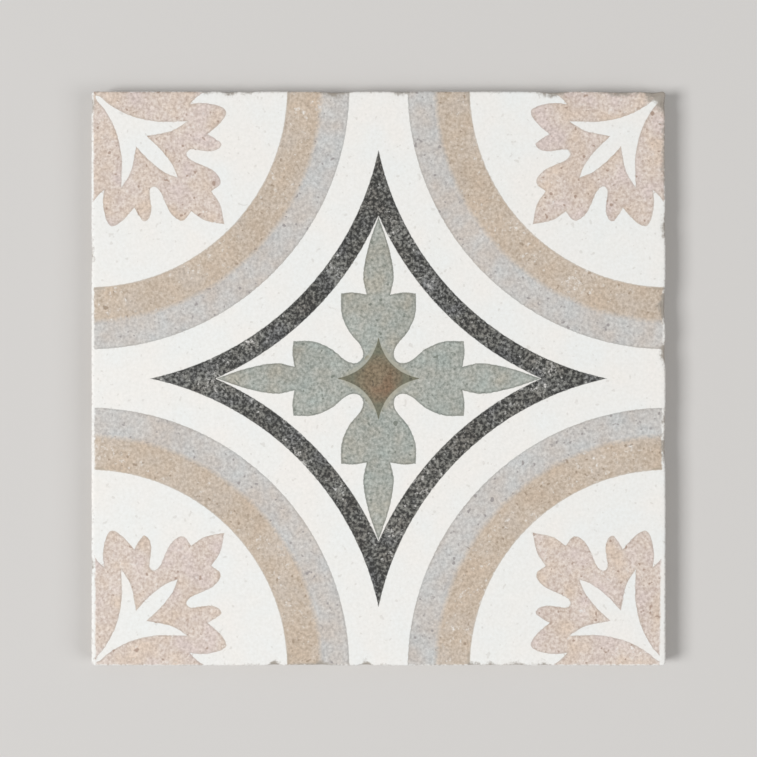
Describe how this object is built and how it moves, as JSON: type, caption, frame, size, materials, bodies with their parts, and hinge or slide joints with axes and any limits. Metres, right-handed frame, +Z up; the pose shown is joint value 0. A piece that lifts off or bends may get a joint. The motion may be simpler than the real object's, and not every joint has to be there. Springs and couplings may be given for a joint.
{
  "type": "patterned floor tile",
  "caption": "Square glazed porcelain tile with a printed ring, star and leaf pattern on its matt face and a keyed back for adhesive; covers floors and walls.",
  "frame": {"origin": "middle of the back, in the plane of the ribs that the tile beds on", "axes": "+Z up through the glazed face, +X and +Y along the edges"},
  "size_m": [0.2, 0.2, 0.009],
  "materials": {
    "glazed_porcelain": "matt glaze with a worn printed pattern on the face, bare fired body on the edges and back"
  },
  "bodies": {
    "root": {"patterned_tile": "glazed_porcelain"}
  },
  "joints": []
}
